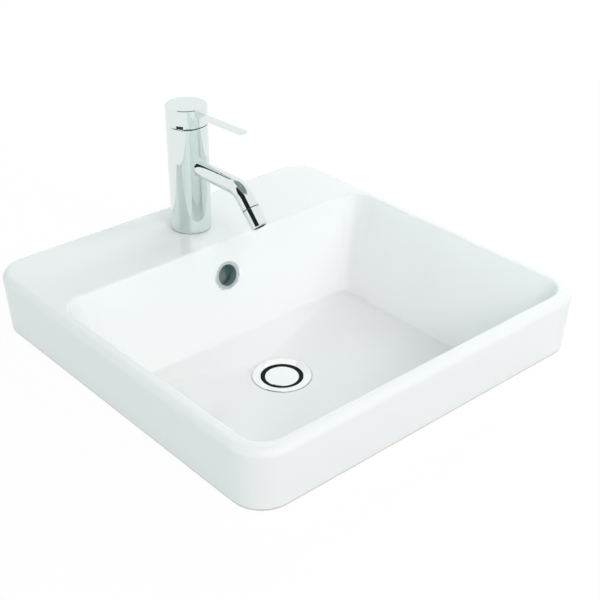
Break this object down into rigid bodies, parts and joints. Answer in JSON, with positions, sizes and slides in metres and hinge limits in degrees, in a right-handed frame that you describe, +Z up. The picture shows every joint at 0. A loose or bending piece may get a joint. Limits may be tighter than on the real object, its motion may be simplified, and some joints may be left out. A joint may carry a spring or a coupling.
{
  "type": "vanity basin",
  "caption": "White glazed inset vanity basin with a skirted rim and rear deck, a chrome single-lever mixer tap, an overflow ring and a push-open pop-up waste.",
  "frame": {"origin": "middle of the skirt's foot, on the top face of the worktop", "axes": "+X to the right as the user faces the basin, +Y to the back where the tap stands, +Z up"},
  "size_m": [0.449, 0.4516, 0.3624],
  "materials": {
    "glaze": "glossy white glaze",
    "chrome": "polished chrome plate on brass",
    "steel": "plain stainless steel",
    "brass": "bare machined brass",
    "black_rubber": "soft black rubber",
    "dark_plastic": "dark moulded plastic",
    "white_plastic": "white moulded plastic",
    "disc_ceramic": "lapped alumina ceramic"
  },
  "bodies": {
    "basin": {"ceramic_basin": "glaze", "overflow_ring": "chrome", "waste_body": "chrome", "waste_flange_seal": "black_rubber", "waste_back_washer": "black_rubber", "waste_slip_washer": "white_plastic", "waste_back_nut": "brass", "plug_guide_post": "white_plastic", "plug_spring": "steel", "tap_body": "chrome", "base_gasket": "black_rubber", "tap_spout": "chrome", "aerator_shell": "chrome", "aerator_insert": "dark_plastic", "aerator_washer": "black_rubber", "cartridge_base": "dark_plastic", "cartridge_base_seals": "black_rubber", "fixed_disc": "disc_ceramic", "cartridge_housing": "white_plastic", "cartridge_nut": "brass", "dress_ring": "dark_plastic", "fixing_stud": "steel", "horseshoe_rubber": "black_rubber", "horseshoe_plate": "steel", "fixing_nut": "brass"},
    "swivel": {"cartridge_rotor": "dark_plastic", "stem_pivot_pin": "steel"},
    "lever": {"cartridge_stem": "steel", "handle_hub": "chrome", "handle_lever": "chrome", "handle_grub_screw": "steel", "handle_screw_cap": "chrome"},
    "disc": {"moving_disc": "disc_ceramic", "disc_carrier": "dark_plastic"},
    "plug": {"plug_cap": "chrome", "plug_seal": "black_rubber", "plug_sleeve": "white_plastic"}
  },
  "joints": [
    {"name": "temperature_swivel", "type": "hinge", "parent": "basin", "child": "swivel", "pos_m": [0, 0.1627, 0.1839], "axis": [0, 0, 1], "range_deg": [-45, 45]},
    {"name": "lever_lift", "type": "hinge", "parent": "swivel", "child": "lever", "pos_m": [0, 0.1627, 0.1839], "axis": [-1, 0, 0], "range_deg": [0, 20]},
    {"name": "disc_slide", "type": "slide", "parent": "swivel", "child": "disc", "axis": [0, -1, 0], "range_m": [0, 0.0032]},
    {"name": "plug_lift", "type": "slide", "parent": "basin", "child": "plug", "axis": [0, 0, 1], "range_m": [0, 0.008], "deforming": ["plug_spring"]}
  ],
  "couplings": [
    {"joint": "disc_slide", "follows": "lever_lift", "m_per_rad": 0.0090143}
  ]
}
